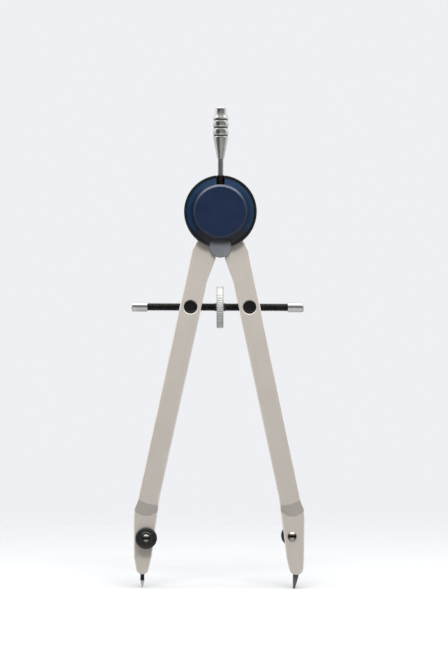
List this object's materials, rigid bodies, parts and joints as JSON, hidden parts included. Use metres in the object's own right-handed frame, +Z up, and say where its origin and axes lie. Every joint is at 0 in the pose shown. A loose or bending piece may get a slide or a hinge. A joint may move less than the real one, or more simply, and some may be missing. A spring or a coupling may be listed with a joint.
{
  "type": "drawing compass",
  "caption": "Bow compass with a geared round head, a turned handle, flat legs for needle and lead, and a threaded spindle with a centre wheel that opens them.",
  "frame": {"origin": "on the paper plane under the handle's axis, midway between the two points", "axes": "+Z up the handle, +X from the needle leg to the lead leg, -Y out of the front cap; the legs open in the XZ plane"},
  "size_m": [0.0609, 0.0146, 0.1682],
  "materials": {
    "satin_nickel": "satin nickel plate",
    "bright_chrome": "polished",
    "wheel_nickel": "bright nickel, knurled rim",
    "grey_steel": "dark satin",
    "bare_steel": "satin",
    "black_steel": "black oxide, semi-gloss",
    "navy_plastic": "satin gloss",
    "black_plastic": "satin",
    "graphite": "dull grey lead"
  },
  "bodies": {
    "head": {"front_cap": "navy_plastic", "back_cap": "navy_plastic", "head_ring": "black_plastic", "front_cheek": "grey_steel", "back_cheek": "grey_steel", "head_block": "bare_steel", "needle_pivot_pin": "bare_steel", "lead_pivot_pin": "bare_steel", "friction_washers": "bare_steel", "cheek_screws": "bare_steel", "stem_socket": "black_steel", "handle_stem": "bare_steel", "handle_grip": "bright_chrome"},
    "needle_leg": {"needle_leg": "satin_nickel", "needle_clamp_screw": "wheel_nickel"},
    "lead_leg": {"lead_leg": "satin_nickel", "lead_clamp_screw": "wheel_nickel"},
    "needle_point": {"needle_holder": "black_steel", "needle": "bare_steel"},
    "needle_clamp_knob": {"needle_clamp_knob": "black_plastic"},
    "lead": {"lead": "graphite"},
    "lead_clamp_knob": {"lead_clamp_knob": "black_plastic"},
    "needle_pivot_nut": {"needle_pivot_nut": "black_steel"},
    "lead_pivot_nut": {"lead_pivot_nut": "black_steel"},
    "spindle": {"spindle": "black_steel", "spindle_cap_left": "bright_chrome", "spindle_cap_right": "bright_chrome"},
    "adjusting_wheel": {"adjusting_wheel": "wheel_nickel"}
  },
  "joints": [
    {"name": "wheel_spin", "type": "hinge", "parent": "spindle", "child": "adjusting_wheel", "pos_m": [0, 0, 0.0984], "axis": [1, 0, 0], "range_deg": [-3380, 6115]},
    {"name": "needle_leg_swing", "type": "hinge", "parent": "head", "child": "needle_leg", "pos_m": [-0.0042, 0, 0.124], "axis": [0, 1, 0], "range_deg": [-10.5, 19]},
    {"name": "lead_leg_swing", "type": "hinge", "parent": "head", "child": "lead_leg", "pos_m": [0.0042, 0, 0.124], "axis": [0, -1, 0], "range_deg": [-10.5, 19]},
    {"name": "needle_nut_swivel", "type": "hinge", "parent": "needle_leg", "child": "needle_pivot_nut", "pos_m": [-0.0103, 0, 0.0984], "axis": [0, -1, 0], "range_deg": [-10.5, 19]},
    {"name": "lead_nut_swivel", "type": "hinge", "parent": "lead_leg", "child": "lead_pivot_nut", "pos_m": [0.0103, 0, 0.0984], "axis": [0, 1, 0], "range_deg": [-10.5, 19]},
    {"name": "spindle_slide", "type": "slide", "parent": "needle_pivot_nut", "child": "spindle", "axis": [1, 0, 0], "range_m": [-0.0048, 0.0086]},
    {"name": "needle_slide", "type": "slide", "parent": "needle_leg", "child": "needle_point", "axis": [0, 0, 1], "range_m": [-0.003, 0.002]},
    {"name": "lead_slide", "type": "slide", "parent": "lead_leg", "child": "lead", "axis": [0, 0, 1], "range_m": [-0.006, 0.002]},
    {"name": "needle_clamp_turn", "type": "hinge", "parent": "needle_leg", "child": "needle_clamp_knob", "pos_m": [-0.02545, 0, 0.0177], "axis": [0, -1, 0], "range_deg": [0, 720]},
    {"name": "lead_clamp_turn", "type": "hinge", "parent": "lead_leg", "child": "lead_clamp_knob", "pos_m": [0.0255, 0, 0.0184], "axis": [0, 1, 0], "range_deg": [0, 720]}
  ],
  "couplings": [
    {"joint": "lead_leg_swing", "follows": "needle_leg_swing", "ratio": 1},
    {"joint": "needle_nut_swivel", "follows": "needle_leg_swing", "ratio": 1},
    {"joint": "lead_nut_swivel", "follows": "needle_leg_swing", "ratio": 1},
    {"joint": "spindle_slide", "follows": "needle_leg_swing", "m_per_rad": 0.0256},
    {"joint": "wheel_spin", "follows": "needle_leg_swing", "ratio": 321.7}
  ]
}
